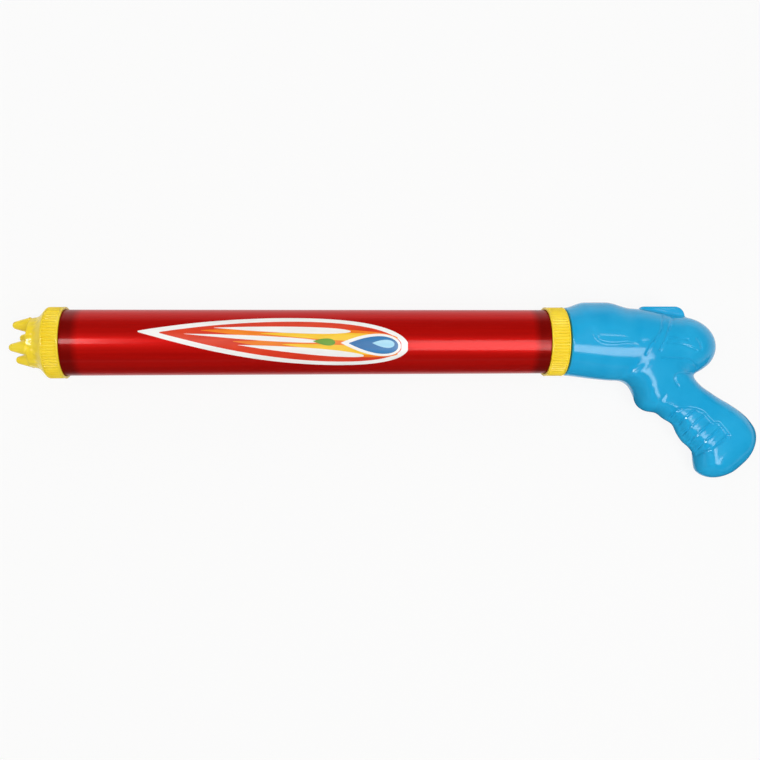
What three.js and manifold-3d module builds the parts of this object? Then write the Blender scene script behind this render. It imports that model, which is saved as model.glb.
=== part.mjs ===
// A pump water squirter: a tube with a four-jet cap, and a piston on a rod that a pistol handle pulls.
// It lies on its side. +X runs from the jets to the handle, +Z is up, and sizes are in millimetres.
// The origin is on the floor, under the middle of the rear collar's rear rim.
import * as THREE from "three";
import { mergeVertices } from "three/addons/utils/BufferGeometryUtils.js";
import Module from "manifold-3d";

const wasm = await Module();
wasm.setup();

// Fits: a seat is the gap between two pieces that lie against each other.
const SEAT = 0.3;
// How far ribs and bosses run into the wall that carries them.
const FUSE = 0.6;
// How far a drilled hole runs past a screw or a face.
const DRILL_PAST = 1;
// Corners closer than this are one corner.
const MERGE_DISTANCE = 1e-4;

// Barrel
const TUBE_DIAMETER = 50.6;
const TUBE_WALL = 2;
const TUBE_LENGTH = 393.2;
const TUBE_SIDES = 40;

// Yellow rings: the cap's skirt and the rear collar have the same diameter and knurl.
const RING_DIAMETER = 55;
const RING_SIDES = 40;
const CROWN_SIDES = 24;
const RIM_WIDTH = 2;
const RIM_PROUD = 0.3;
const KNURL_DEPTH = 0.6;
const COLLAR_RIBS = 70;
const COLLAR_LENGTH = 14.5;
const COLLAR_FLANGE = 3;
const CAP_RIBS = 60;
const CAP_SKIRT = 12.7;
const CAP_OVERLAP = 9.6;
const CAP_SHOULDER_LENGTH = 5;
const CROWN_DIAMETER = 43.2;
const CROWN_FRONT_DIAMETER = 37.6;
const CROWN_LENGTH = 8.2;
const CROWN_WALL = 3;
const CROWN_EDGE = 1;
const CROWN_HOLLOW = 0.5;
const GASKET_THICKNESS = 2;
const GASKET_WIDTH = 4;

// Jets
const JET_COUNT = 4;
const JET_REACH = 13.1;
const JET_TIP_RADIUS = 3;
const JET_HALF_ANGLE = THREE.MathUtils.degToRad(13);
const JET_CIRCLE_RADIUS = 13.7;
const JET_BORE = 2;
const JET_PHASE = THREE.MathUtils.degToRad(24);
const JET_SIDES = 12;
const JET_BORE_SIDES = 6;

// Piston
const PISTON_LENGTH = 22;
const PISTON_CLEARANCE = 0.4;
const PISTON_END_GAP = 1;
const PISTON_CHAMFER = 1;
const PISTON_WEB = 4;
const PISTON_WALL = 2.2;
const PISTON_HUB_LENGTH = 9;
const PISTON_HUB_WALL = 4.5;
const RECESS_DEPTH = 5;
const O_RING_SECTION = 3.2;
const O_RING_SQUEEZE_GAP = 0.25;
const O_RING_INSET = 5.5;
const O_RING_SIDES = 6;
const PISTON_SIDES = 26;

// Plunger rod and what holds the piston on it
const ROD_DIAMETER = 18;
const ROD_WALL = 2;
const ROD_SOCKET = 58;
const PLUG_FLANGE = 3;
const PLUG_REACH = 13;
const SPIGOT_DIAMETER = 10;
const WASHER_DIAMETER = 15;
const WASHER_THICKNESS = 1.2;
const PISTON_SCREW_DIAMETER = 4;
const PISTON_SCREW_LENGTH = 20;
const PISTON_SCREW_HEAD = 8;
const PISTON_SCREW_HEAD_HEIGHT = 2.2;
const ROD_SIDES = 20;
const PIN_DIAMETER = 5;
const PIN_ENGAGEMENT = 8;
const PIN_STATION = 46;
const PIN_BOSS_WALL = 2;

// Pistol handle: its body follows the barrel's axis, and its grip slants down and back.
const HANDLE_GAP = 1.3;
const HANDLE_STEP = 0.4;
const HANDLE_WALL = 2.2;
const PARTING_GAP = 0.3;
const BODY_LENGTH = 125.2;
const BODY_REAR_DOME = 31;
const BODY_BELLY = 31.6;
// Shares of the straight part between which the belly is deepest, and how far the top has dropped there.
const BELLY_START = 0.45;
const BELLY_END = 0.62;
const BODY_TOP_DROP = 0.6;
const BODY_WAIST_HALF_WIDTH = 25.4;
const BODY_REAR_TOP = 20.2;
const BODY_REAR_BOTTOM = 28.8;
const BODY_REAR_HALF_WIDTH = 22;
const HOOD_LENGTH = 55;
const HOOD_RISE = 17;
const HOOD_FALL = 21;
const HOOD_HEIGHT = 3.9;
const HOOD_LIP_TOP = THREE.MathUtils.degToRad(55);
const HOOD_LIP_BOTTOM = THREE.MathUtils.degToRad(94);
const FIN_START = 63;
const FIN_END = 100;
const FIN_TOP = 28.3;
const FIN_THICKNESS = 6;
const FIN_CORNER = 8;
const FIN_NOSE = 3;
const FIN_NOSE_DROP = 1;
const BAND_STATION = 70.5;
const BAND_WIDTH = 7;
const BAND_DROP = 14;
const BAND_LEAN = THREE.MathUtils.degToRad(28);
const GROOVE_WIDTH = 1.2;
const GROOVE_DEPTH = 0.7;
const GRIP_ROOT_X = 75;
const GRIP_ROOT_Y = -20;
const GRIP_SLANT = THREE.MathUtils.degToRad(-50);
const GRIP_HEEL_DOME = 20.6;
// Stations down the grip, with its front edge, its back edge and its half width there.
const GRIP_FORM = [
  [-12, -31.2, 20, 24],
  [-7, -28.1, 20, 23.4],
  [-1, -26.3, 20, 22.5],
  [8, -28.2, 20, 20.6],
  [16, -31, 19.8, 18.7],
  [22, -29.6, 19.3, 17.5],
  [30, -23.3, 19.2, 16.4],
  [38, -21.4, 19.6, 15.4],
  [46, -18.8, 21.5, 15.4],
  [54, -20.8, 24, 15.5],
  [62, -21.6, 27, 15.8],
  [70, -20.4, 29.3, 16.2],
  [76, -21.3, 30.7, 16.6],
  [82, -25.6, 31.4, 17],
  [87, -28.4, 31.2, 17.2],
];
const GRIP_SECTION_POWER = 2.3;
const CHANNEL_COUNT = 4;
const CHANNEL_FIRST = 49;
const CHANNEL_PITCH = 8.6;
const CHANNEL_RADIUS = 5;
const CHANNEL_DEPTH = 1.3;
const SKIN = { sides: 28, step: 7, domeSteps: 5 };
const LINING = { sides: 16, step: 12, domeSteps: 4 };

// Inside the handle
const RIB_STATIONS = [12, 34];
const RIB_THICKNESS = 2;
const BOSS_RADIUS = 4.2;
const SCREW_DIAMETER = 3;
const SCREW_LENGTH = 18;
const SCREW_HEAD = 6;
const SCREW_HEAD_HEIGHT = 2;
// Shares of a screw head that are flat on top and straight at its edge.
const SCREW_HEAD_FLAT = 0.6;
const SCREW_HEAD_EDGE = 0.4;
const SCREW_SEAT = 8;
const SCREW_SIDES = 10;
const BOSS_SIDES = 12;
const FRONT_SCREW_STATION = 23;
const REAR_SCREW_INTO_DOME = 4;
const GRIP_SCREW_STATIONS = [12, 42, 84];

// Sticker: a teardrop of thin film on the side that faces up
const STICKER_LENGTH = 205;
const STICKER_HALF_HEIGHT = 19;
const STICKER_THICKNESS = 0.3;
const STICKER_GAP = 0.1;
const STICKER_BLUNT_END = -125;
const STICKER_TURN = THREE.MathUtils.degToRad(98);
const STICKER_DROP = 4;
const STICKER_SLANT = 12;
const STICKER_STATIONS = 12;
const STICKER_STEPS = 8;
// Where the teardrop is cut off at each end, and what makes its greatest half height one.
const TEARDROP_TIP = 0.985;
const TEARDROP_BLUNT = 0.1;
const TEARDROP_PEAK = (3 * Math.sqrt(3)) / 2;

// Sizes that follow from those above
const TUBE_RADIUS = TUBE_DIAMETER / 2;
const BORE_RADIUS = TUBE_RADIUS - TUBE_WALL;
const RING_RADIUS = RING_DIAMETER / 2;
const CREST_RADIUS = RING_RADIUS - RIM_PROUD;
const ROOT_RADIUS = CREST_RADIUS - KNURL_DEPTH;
const SKIRT_BORE = TUBE_RADIUS + SEAT;
// The plain wall under the knurl, which the ribbed band covers.
const KNURL_CORE = (SKIRT_BORE + ROOT_RADIUS) / 2;
const AXIS_HEIGHT = RING_RADIUS * Math.cos(Math.PI / RING_SIDES);
const ROD_RADIUS = ROD_DIAMETER / 2;
const ROD_HOLE = ROD_RADIUS + SEAT;
const COLLAR_REAR = RIM_WIDTH / 2;
const TUBE_REAR = COLLAR_REAR - COLLAR_FLANGE - SEAT;
const TUBE_FRONT = TUBE_REAR - TUBE_LENGTH;
const CAP_RIM = TUBE_FRONT + CAP_OVERLAP;
const HANDLE_FRONT = COLLAR_REAR + HANDLE_GAP;
const BODY_RADIUS = RING_RADIUS - HANDLE_STEP;
const BODY_STRAIGHT = BODY_LENGTH - BODY_REAR_DOME;
const GRIP_START = GRIP_FORM.at(0)[0];
const GRIP_STRAIGHT = GRIP_FORM.at(-1)[0];
const PIN_LENGTH = ROD_DIAMETER + 2 * PIN_ENGAGEMENT;
const PIN_HOLE = PIN_DIAMETER / 2 + SEAT;
const SCREW_HOLE = SCREW_DIAMETER / 2 + SEAT;
const COUNTERBORE = SCREW_HEAD / 2 + SEAT;
// Longer than anything here, for cuts that go right through.
const FAR = 400;
// The handle rolls no further than this before its grip is on the floor, and is found this closely.
const MOST_ROLL = Math.PI / 4;
const ROLL_TOLERANCE = 1e-5;

// Piston stations, from its front face
const SPIGOT_RADIUS = SPIGOT_DIAMETER / 2;
const HUB_REAR = RECESS_DEPTH + PISTON_HUB_LENGTH;
const FLANGE_FRONT = HUB_REAR + SEAT;
const FLANGE_REAR = FLANGE_FRONT + PLUG_FLANGE;
const SPIGOT_FRONT = RECESS_DEPTH - SEAT;
const WASHER_FRONT = SPIGOT_FRONT - SEAT - WASHER_THICKNESS;
const PISTON_FRONT = TUBE_FRONT + PISTON_END_GAP;

// A closed geometry as a solid that can be joined and cut.
function solid(geometry) {
  const bare = new THREE.BufferGeometry();
  bare.setAttribute("position", geometry.getAttribute("position"));
  bare.setIndex(geometry.index);
  const merged = mergeVertices(bare, MERGE_DISTANCE);
  const corners = merged.index.array;
  const triangles = [];
  for (let i = 0; i < corners.length; i += 3) {
    const [a, b, c] = corners.slice(i, i + 3);
    if (a !== b && b !== c && c !== a) triangles.push(a, b, c);
  }
  return new wasm.Manifold(
    new wasm.Mesh({
      numProp: 3,
      vertProperties: merged.getAttribute("position").array,
      triVerts: new Uint32Array(triangles),
    }),
  );
}

// A solid's surface as a geometry.
function surface(body) {
  const { vertProperties, triVerts } = body.getMesh();
  const geometry = new THREE.BufferGeometry();
  geometry.setAttribute("position", new THREE.BufferAttribute(vertProperties, 3));
  geometry.setIndex(new THREE.BufferAttribute(triVerts, 1));
  return geometry;
}

// A profile of [x, radius] corners turned about the X axis, with a flat facing straight down.
function turned(profile, sides) {
  const points = profile.map(([x, radius]) => new THREE.Vector2(radius, x));
  return new THREE.LatheGeometry(points, sides, Math.PI / sides).rotateZ(-Math.PI / 2);
}

// A ring with a rectangular section, turned about the X axis.
function turnedRing(front, rear, inner, outer, sides) {
  const profile = [[front, inner], [front, outer], [rear, outer], [rear, inner], [front, inner]];
  return turned(profile, sides);
}

// A round bar along X.
function barAlongX(front, rear, radius, sides) {
  const length = rear - front;
  const bar = new THREE.CylinderGeometry(radius, radius, length, sides);
  return bar.rotateZ(-Math.PI / 2).translate((front + rear) / 2, 0, 0);
}

// A round bar across the handle, along Z, at a point of its side view.
function barAcross([x, y], low, high, radius, sides) {
  const bar = new THREE.CylinderGeometry(radius, radius, high - low, sides);
  return bar.rotateX(Math.PI / 2).translate(x, y, (low + high) / 2);
}

// A block between two stations of X, as wide and high as anything in the handle.
function slab(front, rear) {
  return new THREE.BoxGeometry(rear - front, FAR, FAR).translate((front + rear) / 2, 0, 0);
}

// A skin over a row of rings, each a loop of points, with a fan over each end.
function loft(rings) {
  const count = rings[0].length;
  const middle = (ring) => ring
    .reduce((sum, point) => sum.add(point), new THREE.Vector3())
    .divideScalar(count);
  const points = [...rings.flat(), middle(rings[0]), middle(rings.at(-1))];
  const first = points.length - 2;
  const last = points.length - 1;
  const index = [];
  for (let ring = 0; ring < rings.length; ring += 1) {
    for (let side = 0; side < count; side += 1) {
      const a = ring * count + side;
      const b = ring * count + (side + 1) % count;
      if (ring === 0) index.push(first, b, a);
      if (ring === rings.length - 1) index.push(last, a, b);
      else index.push(a, b, a + count, b, b + count, a + count);
    }
  }
  return new THREE.BufferGeometry().setFromPoints(points).setIndex(index);
}

// A smooth curve through rows of [station, value, value, ...].
function curveThrough(rows) {
  const stations = rows.map((row) => row[0]);
  const values = rows.flatMap((row) => row.slice(1));
  const curve = new THREE.CubicInterpolant(stations, values, rows[0].length - 1);
  return (station) => Array.from(curve.evaluate(station));
}

// Evenly spaced values from a start to an end.
function steps(start, end, count) {
  return Array.from({ length: count + 1 }, (_, i) => start + ((end - start) * i) / count);
}

function signedPower(value, power) {
  return Math.sign(value) * Math.abs(value) ** power;
}

// One ring of the handle: a superellipse between a low and a high edge.
function section(x, low, high, halfWidth, power, grow, sides) {
  const middle = (low + high) / 2;
  const half = (high - low) / 2;
  return steps(0, 2 * Math.PI, sides).slice(0, -1).map((angle) => {
    const more = grow(x, angle);
    const across = (half + more) * signedPower(Math.cos(angle), 2 / power);
    const out = (halfWidth + more / 2) * signedPower(Math.sin(angle), 2 / power);
    return new THREE.Vector3(x, middle + across, out);
  });
}

// Rings along a form that runs straight from a start and ends in a dome.
function domedRings(start, straight, dome, edges, power, grow, inset, facets) {
  const count = Math.round((straight - start) / facets.step);
  const [lastLow, lastHigh, lastHalf] = edges(straight);
  const middle = (lastLow + lastHigh) / 2;
  const straightRings = steps(start, straight, count).map((x) => {
    const [low, high, half] = edges(x);
    return section(x, low + inset, high - inset, half - inset, power, grow, facets.sides);
  });
  const domeRings = steps(0, Math.PI / 2, facets.domeSteps).slice(1).map((angle) => {
    const x = straight + (dome - inset) * Math.sin(angle);
    const shrink = Math.cos(angle);
    const low = middle + (lastLow + inset - middle) * shrink;
    const high = middle + (lastHigh - inset - middle) * shrink;
    return section(x, low, high, (lastHalf - inset) * shrink, power, grow, facets.sides);
  });
  return [...straightRings, ...domeRings];
}

// The raised hood over the front of the handle's body, highest on top and gone below its sides.
function hood(x, angle) {
  const fromTop = Math.min(angle, 2 * Math.PI - angle);
  const rise = THREE.MathUtils.smoothstep(x, 0, HOOD_RISE);
  const fall = 1 - THREE.MathUtils.smoothstep(x, HOOD_LENGTH - HOOD_FALL, HOOD_LENGTH);
  const round = 1 - THREE.MathUtils.smoothstep(fromTop, HOOD_LIP_TOP, HOOD_LIP_BOTTOM);
  return HOOD_HEIGHT * rise * fall * round;
}

function noHood() {
  return 0;
}

// The handle's form, pulled in by an inset: the body and the slanted grip joined.
function handleForm(inset, facets) {
  const bodyEdges = curveThrough([
    [0, -BODY_RADIUS, BODY_RADIUS, BODY_RADIUS],
    [BODY_STRAIGHT * BELLY_START, -BODY_BELLY, BODY_RADIUS, BODY_WAIST_HALF_WIDTH],
    [BODY_STRAIGHT * BELLY_END, -BODY_BELLY, BODY_RADIUS - BODY_TOP_DROP, BODY_WAIST_HALF_WIDTH],
    [BODY_STRAIGHT, -BODY_REAR_BOTTOM, BODY_REAR_TOP, BODY_REAR_HALF_WIDTH],
  ]);
  const gripEdges = curveThrough(GRIP_FORM);
  const body = loft(
    domedRings(inset, BODY_STRAIGHT, BODY_REAR_DOME, bodyEdges, 2, hood, inset, facets),
  );
  const grip = loft(
    domedRings(
      GRIP_START + inset, GRIP_STRAIGHT, GRIP_HEEL_DOME,
      gripEdges, GRIP_SECTION_POWER, noHood, inset, facets,
    ),
  );
  return solid(body).add(solid(grip.applyMatrix4(gripPlace())));
}

// The grip's own frame: X down the grip, Y from its front edge to its back edge.
function gripPlace() {
  return new THREE.Matrix4()
    .makeRotationZ(GRIP_SLANT)
    .setPosition(GRIP_ROOT_X, GRIP_ROOT_Y, 0);
}

// The sighting fin on top of the body.
function fin() {
  const outline = new THREE.Shape();
  outline.moveTo(FIN_START, 0);
  outline.lineTo(FIN_START, FIN_TOP - FIN_NOSE_DROP);
  outline.quadraticCurveTo(FIN_START, FIN_TOP, FIN_START + FIN_NOSE, FIN_TOP);
  outline.lineTo(FIN_END - FIN_CORNER, FIN_TOP);
  outline.quadraticCurveTo(FIN_END, FIN_TOP, FIN_END, FIN_TOP - FIN_CORNER);
  outline.lineTo(FIN_END, 0);
  const plate = new THREE.ExtrudeGeometry(outline, {
    depth: FIN_THICKNESS, bevelEnabled: false, curveSegments: 5,
  });
  return solid(plate.translate(0, 0, -FIN_THICKNESS / 2));
}

// Cutters for two shallow grooves round the body that mark off a leaning band.
function bandCutters() {
  const height = 2 * BODY_BELLY;
  const plate = (offset) => {
    const blade = new THREE.BoxGeometry(GROOVE_WIDTH, height, FAR);
    blade.translate(offset, height / 2 - BAND_DROP, 0).rotateZ(-BAND_LEAN);
    return solid(blade.translate(BAND_STATION, 0, 0));
  };
  const plates = plate(-BAND_WIDTH / 2).add(plate(BAND_WIDTH / 2));
  return plates.subtract(handleForm(GROOVE_DEPTH, SKIN));
}

// Shallow finger channels across both sides of the grip.
function fingerChannels() {
  const gripEdges = curveThrough(GRIP_FORM);
  const tools = [];
  for (let i = 0; i < CHANNEL_COUNT; i += 1) {
    const station = CHANNEL_FIRST + i * CHANNEL_PITCH;
    const [front, back, halfWidth] = gripEdges(station);
    const out = halfWidth + CHANNEL_RADIUS - CHANNEL_DEPTH;
    for (const side of [-1, 1]) {
      const bar = new THREE.CylinderGeometry(CHANNEL_RADIUS, CHANNEL_RADIUS, back - front, BOSS_SIDES);
      bar.translate(station, (front + back) / 2, side * out);
      tools.push(solid(bar.applyMatrix4(gripPlace())));
    }
  }
  return tools.reduce((all, tool) => all.add(tool));
}

// Places of the screws in the handle's side view: above and below the rod, in the dome and down the grip.
function screwPlaces() {
  const beside = (ROD_HOLE + BODY_RADIUS - HANDLE_WALL) / 2;
  const onBody = [
    [FRONT_SCREW_STATION, beside],
    [FRONT_SCREW_STATION, -beside],
    [BODY_STRAIGHT + REAR_SCREW_INTO_DOME, (BODY_REAR_TOP - BODY_REAR_BOTTOM) / 2],
  ];
  const gripEdges = curveThrough(GRIP_FORM);
  const place = gripPlace();
  const onGrip = GRIP_SCREW_STATIONS.map((station) => {
    const [front, back] = gripEdges(station);
    const point = new THREE.Vector3(station, (front + back) / 2, 0).applyMatrix4(place);
    return [point.x, point.y];
  });
  return [...onBody, ...onGrip];
}

// Both halves of the handle before they are parted: wall, ribs, bosses, fin and relief.
function handleSolid() {
  const outer = handleForm(0, SKIN);
  const room = handleForm(HANDLE_WALL, LINING);
  const core = handleForm(HANDLE_WALL - FUSE, LINING);
  const stopFront = ROD_SOCKET + SEAT;
  const bosses = screwPlaces().map((place) => solid(barAcross(place, -FAR, FAR, BOSS_RADIUS, BOSS_SIDES)));
  const pinBoss = solid(
    barAcross([PIN_STATION, 0], -FAR, FAR, PIN_DIAMETER / 2 + PIN_BOSS_WALL, BOSS_SIDES),
  );
  const ribs = RIB_STATIONS.map((x) => solid(slab(x - RIB_THICKNESS / 2, x + RIB_THICKNESS / 2)));
  const stop = solid(slab(stopFront, stopFront + RIB_THICKNESS));
  const aboveGrip = solid(
    new THREE.BoxGeometry(FAR, FAR, FAR).translate(0, FAR / 2 - BODY_REAR_BOTTOM, 0),
  );
  const plates = [...ribs, stop].map((plate) => plate.intersect(aboveGrip));
  const inside = [...plates, ...bosses, pinBoss].reduce((all, piece) => all.add(piece));
  return outer
    .subtract(bandCutters())
    .add(fin())
    .subtract(fingerChannels())
    .subtract(room)
    .add(inside.intersect(core))
    .subtract(solid(barAlongX(-DRILL_PAST, stopFront, ROD_HOLE, ROD_SIDES)))
    .subtract(
      solid(barAcross([PIN_STATION, 0], -PIN_LENGTH / 2 - SEAT, PIN_LENGTH / 2 + SEAT, PIN_HOLE, BOSS_SIDES)),
    );
}

// The half on one side of the parting plane.
function handleHalf(whole, side) {
  const room = new THREE.BoxGeometry(FAR, FAR, FAR);
  room.translate(0, 0, side * (FAR / 2 + PARTING_GAP / 2));
  return whole.intersect(solid(room));
}

// The left half takes the screws' points, so its holes are blind.
function leftShell(whole) {
  return screwPlaces().reduce((half, place) => {
    const end = SCREW_LENGTH - SCREW_SEAT + DRILL_PAST;
    const hole = barAcross(place, -DRILL_PAST, end, SCREW_HOLE, SCREW_SIDES);
    return half.subtract(solid(hole));
  }, handleHalf(whole, 1));
}

// The right half is drilled through, with a deep counterbore for each screw's head.
function rightShell(whole) {
  return screwPlaces().reduce((half, place) => {
    const hole = barAcross(place, -SCREW_SEAT - DRILL_PAST, DRILL_PAST, SCREW_HOLE, SCREW_SIDES);
    const head = barAcross(place, -FAR, -SCREW_SEAT, COUNTERBORE, SCREW_SIDES);
    return half.subtract(solid(hole)).subtract(solid(head));
  }, handleHalf(whole, -1));
}

// A screw along X: a low domed head, a shank and a point.
function screw(headDiameter, headHeight, diameter, length, sides) {
  const head = headDiameter / 2;
  const shank = diameter / 2;
  return turned(
    [
      [-headHeight, 0],
      [-headHeight, head * SCREW_HEAD_FLAT],
      [-headHeight * SCREW_HEAD_EDGE, head],
      [0, head],
      [0, shank],
      [length - diameter, shank],
      [length, 0],
    ],
    sides,
  );
}

// A knurled band: a ring of fine ribs along X.
function knurl(front, rear, ribs) {
  const corners = steps(0, 2 * Math.PI, 2 * ribs).slice(0, -1).map((angle, i) => {
    const radius = i % 2 ? CREST_RADIUS : ROOT_RADIUS;
    return new THREE.Vector2(radius * Math.cos(angle), radius * Math.sin(angle));
  });
  const band = new THREE.Shape(corners);
  const hole = new THREE.Path();
  hole.absarc(0, 0, (SKIRT_BORE + KNURL_CORE) / 2, 0, 2 * Math.PI, true);
  band.holes.push(hole);
  const ring = new THREE.ExtrudeGeometry(band, {
    depth: rear - front, bevelEnabled: false, curveSegments: RING_SIDES / 2,
  });
  return solid(ring.rotateY(Math.PI / 2).translate(front, 0, 0));
}

// The rear collar: knurled between two rims, with a flange that guides the rod.
function rearCollar() {
  const front = COLLAR_REAR - COLLAR_LENGTH;
  const flange = COLLAR_REAR - COLLAR_FLANGE;
  const body = turned(
    [
      [front, SKIRT_BORE],
      [front, RING_RADIUS],
      [front + RIM_WIDTH, RING_RADIUS],
      [front + RIM_WIDTH, KNURL_CORE],
      [COLLAR_REAR - RIM_WIDTH, KNURL_CORE],
      [COLLAR_REAR - RIM_WIDTH, RING_RADIUS],
      [COLLAR_REAR, RING_RADIUS],
      [COLLAR_REAR, ROD_HOLE],
      [flange, ROD_HOLE],
      [flange, SKIRT_BORE],
      [front, SKIRT_BORE],
    ],
    RING_SIDES,
  );
  return solid(body).add(knurl(front + RIM_WIDTH / 2, COLLAR_REAR - RIM_WIDTH / 2, COLLAR_RIBS));
}

// The nozzle cap: skirt, sloping shoulder, crown and jets.
function nozzleCap() {
  const shoulder = CAP_RIM - CAP_SKIRT;
  const crown = shoulder - CAP_SHOULDER_LENGTH;
  const crownFront = crown - CROWN_LENGTH;
  const seat = TUBE_FRONT - GASKET_THICKNESS - 2 * SEAT;
  const roomFront = crownFront + CROWN_WALL;
  const frontRadius = CROWN_FRONT_DIAMETER / 2;
  const body = turned(
    [
      [crownFront, 0],
      [crownFront, frontRadius - CROWN_EDGE],
      [crownFront + CROWN_EDGE, frontRadius],
      [crown - CROWN_LENGTH / 3, (CROWN_FRONT_DIAMETER + CROWN_DIAMETER) / 4 - CROWN_HOLLOW],
      [crown, CROWN_DIAMETER / 2],
      [shoulder, CREST_RADIUS],
      [shoulder + RIM_WIDTH / 2, CREST_RADIUS],
      [shoulder + RIM_WIDTH / 2, KNURL_CORE],
      [CAP_RIM - RIM_WIDTH, KNURL_CORE],
      [CAP_RIM - RIM_WIDTH, RING_RADIUS],
      [CAP_RIM, RING_RADIUS],
      [CAP_RIM, 0],
    ],
    RING_SIDES,
  );
  const room = barAlongX(roomFront, CAP_RIM, frontRadius - CROWN_WALL, CROWN_SIDES);
  const jets = jetPlaces();
  const cones = jets.map((place) => solid(jetCone(crownFront).translate(...place)));
  const bores = jets.map((place) => {
    const bore = barAlongX(crownFront - 2 * JET_REACH, roomFront + SEAT, JET_BORE / 2, JET_BORE_SIDES);
    return solid(bore.translate(...place));
  });
  const whole = [solid(body), capKnurl(shoulder), ...cones].reduce((all, piece) => all.add(piece));
  const cuts = [solid(room), solid(barAlongX(seat, CAP_RIM + SEAT, SKIRT_BORE, RING_SIDES)), ...bores];
  return cuts.reduce((cap, tool) => cap.subtract(tool), whole);
}

// The cap's knurl runs from its shoulder into its rim.
function capKnurl(shoulder) {
  return knurl(shoulder + RIM_WIDTH / 4, CAP_RIM - RIM_WIDTH / 2, CAP_RIBS);
}

// A stubby jet with a rounded tip, rooted in the crown's front wall.
function jetCone(crownFront) {
  const tip = crownFront - JET_REACH;
  const root = crownFront + CROWN_WALL / 2;
  const shoulder = tip + JET_TIP_RADIUS / 2;
  return turned(
    [
      [tip, 0],
      [tip, JET_TIP_RADIUS * Math.cos(Math.PI / 4)],
      [shoulder, JET_TIP_RADIUS],
      [root, JET_TIP_RADIUS + (root - shoulder) * Math.tan(JET_HALF_ANGLE)],
      [root, 0],
    ],
    JET_SIDES,
  );
}

// The jets' axes, spaced evenly on a circle.
function jetPlaces() {
  return steps(JET_PHASE, JET_PHASE + 2 * Math.PI, JET_COUNT).slice(1).map((angle) => [
    0,
    JET_CIRCLE_RADIUS * Math.cos(angle),
    JET_CIRCLE_RADIUS * Math.sin(angle),
  ]);
}

// The flat seal that the cap squeezes against the tube's end.
function nozzleGasket() {
  const rear = TUBE_FRONT - SEAT;
  return turnedRing(
    rear - GASKET_THICKNESS, rear, SKIRT_BORE - SEAT - GASKET_WIDTH, SKIRT_BORE - SEAT, RING_SIDES,
  );
}

// The piston: a moulded cup with two O-ring grooves, a web and a hub that turns on the rod's spigot.
function pistonHead() {
  const outer = BORE_RADIUS - PISTON_CLEARANCE;
  const grooveFloor = oRingMiddle() - O_RING_SECTION / 2 - SEAT;
  const grooveHalf = O_RING_SECTION / 2 + SEAT;
  const cup = grooveFloor - PISTON_WALL;
  const hole = SPIGOT_RADIUS + SEAT;
  const recess = WASHER_DIAMETER / 2 + SEAT;
  const web = RECESS_DEPTH + PISTON_WEB;
  const grooves = oRingStations().flatMap((x) => [
    [x - grooveHalf, outer],
    [x - grooveHalf, grooveFloor],
    [x + grooveHalf, grooveFloor],
    [x + grooveHalf, outer],
  ]);
  return turned(
    [
      [RECESS_DEPTH, hole],
      [RECESS_DEPTH, recess],
      [0, recess],
      [0, outer - PISTON_CHAMFER],
      [PISTON_CHAMFER, outer],
      ...grooves,
      [PISTON_LENGTH, outer],
      [PISTON_LENGTH, cup],
      [web, cup],
      [web, hole + PISTON_HUB_WALL],
      [HUB_REAR, hole + PISTON_HUB_WALL],
      [HUB_REAR, hole],
      [RECESS_DEPTH, hole],
    ],
    PISTON_SIDES,
  );
}

function oRingMiddle() {
  return BORE_RADIUS - O_RING_SQUEEZE_GAP - O_RING_SECTION / 2;
}

function oRingStations() {
  return [O_RING_INSET, PISTON_LENGTH - O_RING_INSET];
}

function oRing(station) {
  const profile = steps(0, 2 * Math.PI, O_RING_SIDES).map((angle) => [
    station - (O_RING_SECTION / 2) * Math.cos(angle),
    oRingMiddle() + (O_RING_SECTION / 2) * Math.sin(angle),
  ]);
  return turned(profile, PISTON_SIDES);
}

// The rod's front plug: a spigot for the piston, a flange behind it and a stem in the rod.
function rodPlug() {
  const hole = PISTON_SCREW_DIAMETER / 2 + SEAT;
  const stem = ROD_RADIUS - ROD_WALL - SEAT;
  const holeEnd = WASHER_FRONT - SEAT + PISTON_SCREW_LENGTH + SEAT;
  return turned(
    [
      [holeEnd, 0],
      [holeEnd, hole],
      [SPIGOT_FRONT, hole],
      [SPIGOT_FRONT, SPIGOT_RADIUS],
      [FLANGE_FRONT, SPIGOT_RADIUS],
      [FLANGE_FRONT, ROD_RADIUS],
      [FLANGE_REAR, ROD_RADIUS],
      [FLANGE_REAR, stem],
      [FLANGE_REAR + PLUG_REACH, stem],
      [FLANGE_REAR + PLUG_REACH, 0],
    ],
    ROD_SIDES,
  );
}

// The plunger rod: a plain tube with a cross hole for the pin.
function plungerRod() {
  const front = PISTON_FRONT + FLANGE_REAR + SEAT;
  const tube = solid(
    turnedRing(front, HANDLE_FRONT + ROD_SOCKET, ROD_RADIUS - ROD_WALL, ROD_RADIUS, ROD_SIDES),
  );
  return tube.subtract(
    solid(barAcross([HANDLE_FRONT + PIN_STATION, 0], -FAR, FAR, PIN_HOLE, BOSS_SIDES)),
  );
}

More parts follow.
